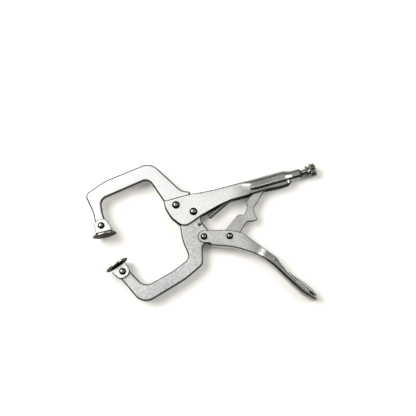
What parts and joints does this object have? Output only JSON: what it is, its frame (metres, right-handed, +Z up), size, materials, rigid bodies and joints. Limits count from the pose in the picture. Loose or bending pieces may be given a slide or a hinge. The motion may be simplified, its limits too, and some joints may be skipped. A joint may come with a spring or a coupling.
{
  "type": "locking pliers",
  "caption": "Steel C-clamp locking pliers with swivel pads, a toggle link, a release lever and a screw that sets the grip.",
  "frame": {"origin": "under the middle of the bounding box, on the plane that the pads' rims rest on", "axes": "+X along the adjusting screw towards the knob, +Y towards the fixed jaw's back, +Z up from the side that the tool lies on"},
  "size_m": [0.2846, 0.2168, 0.0295],
  "materials": {
    "jaw": "satin nickel plate over forged steel",
    "handle": "bright nickel plate over pressed sheet steel",
    "link": "dull plated, sheared edges",
    "rivet": "polished domed heads",
    "screw": "plated, with a rolled thread",
    "pad": "satin plate, darker than the handles",
    "spring": "drawn wire, lightly oiled"
  },
  "bodies": {
    "frame": {"upper_handle": "handle", "fixed_jaw": "jaw", "jaw_fixing_rivet": "rivet", "main_pivot_rivet": "rivet", "return_spring": "spring"},
    "moving_jaw": {"moving_jaw": "jaw", "handle_pivot_rivet": "rivet"},
    "lower_handle": {"lower_handle": "handle", "link_pivot_rivet": "rivet", "release_lever_pin": "rivet"},
    "toggle_link": {"toggle_link": "link"},
    "release_lever": {"release_lever": "handle"},
    "screw": {"adjusting_screw": "screw"},
    "knob": {"adjusting_knob": "screw"},
    "fixed_pad": {"fixed_pad_disc": "pad", "fixed_pad_yoke": "handle", "fixed_pad_rivet": "rivet"},
    "moving_pad": {"moving_pad_disc": "pad", "moving_pad_yoke": "handle", "moving_pad_rivet": "rivet"}
  },
  "joints": [
    {"name": "jaw_close", "type": "hinge", "parent": "frame", "child": "moving_jaw", "pos_m": [-0.01647, 0.03518, 0.01475], "axis": [0, 0, -1], "range_deg": [0, 18.35], "stiffness_Nm_per_rad": 0.8, "deforming": ["return_spring"]},
    {"name": "lower_handle_swing", "type": "hinge", "parent": "moving_jaw", "child": "lower_handle", "pos_m": [-0.01237, 0.00218, 0.01475], "axis": [0, 0, 1], "range_deg": [0, 55.63]},
    {"name": "toggle_link_swing", "type": "hinge", "parent": "lower_handle", "child": "toggle_link", "pos_m": [0.01763, -0.00562, 0.01475], "axis": [0, 0, -1], "range_deg": [0, 53.46]},
    {"name": "release_lever_swing", "type": "hinge", "parent": "lower_handle", "child": "release_lever", "pos_m": [0.06193, -0.04782, 0.01475], "axis": [0, 0, 1], "range_deg": [0, 7]},
    {"name": "fixed_pad_swivel", "type": "hinge", "parent": "frame", "child": "fixed_pad", "pos_m": [-0.12857, 0.04888, 0.01475], "axis": [0, 0, 1], "range_deg": [-15, 15]},
    {"name": "moving_pad_swivel", "type": "hinge", "parent": "moving_jaw", "child": "moving_pad", "pos_m": [-0.11777, -0.01212, 0.01475], "axis": [0, 0, 1], "range_deg": [-15, 15]},
    {"name": "screw_travel", "type": "slide", "parent": "frame", "child": "screw", "axis": [1, 0, 0], "range_m": [0, 0.018]},
    {"name": "knob_turn", "type": "hinge", "parent": "screw", "child": "knob", "pos_m": [0.13353, 0.04668, 0.01475], "axis": [1, 0, 0], "range_deg": [0, 5184]}
  ],
  "couplings": [
    {"joint": "lower_handle_swing", "follows": "jaw_close", "ratio": 3.0311},
    {"joint": "toggle_link_swing", "follows": "jaw_close", "ratio": 2.9125},
    {"joint": "knob_turn", "follows": "screw_travel", "rad_per_m": 5026.5}
  ]
}
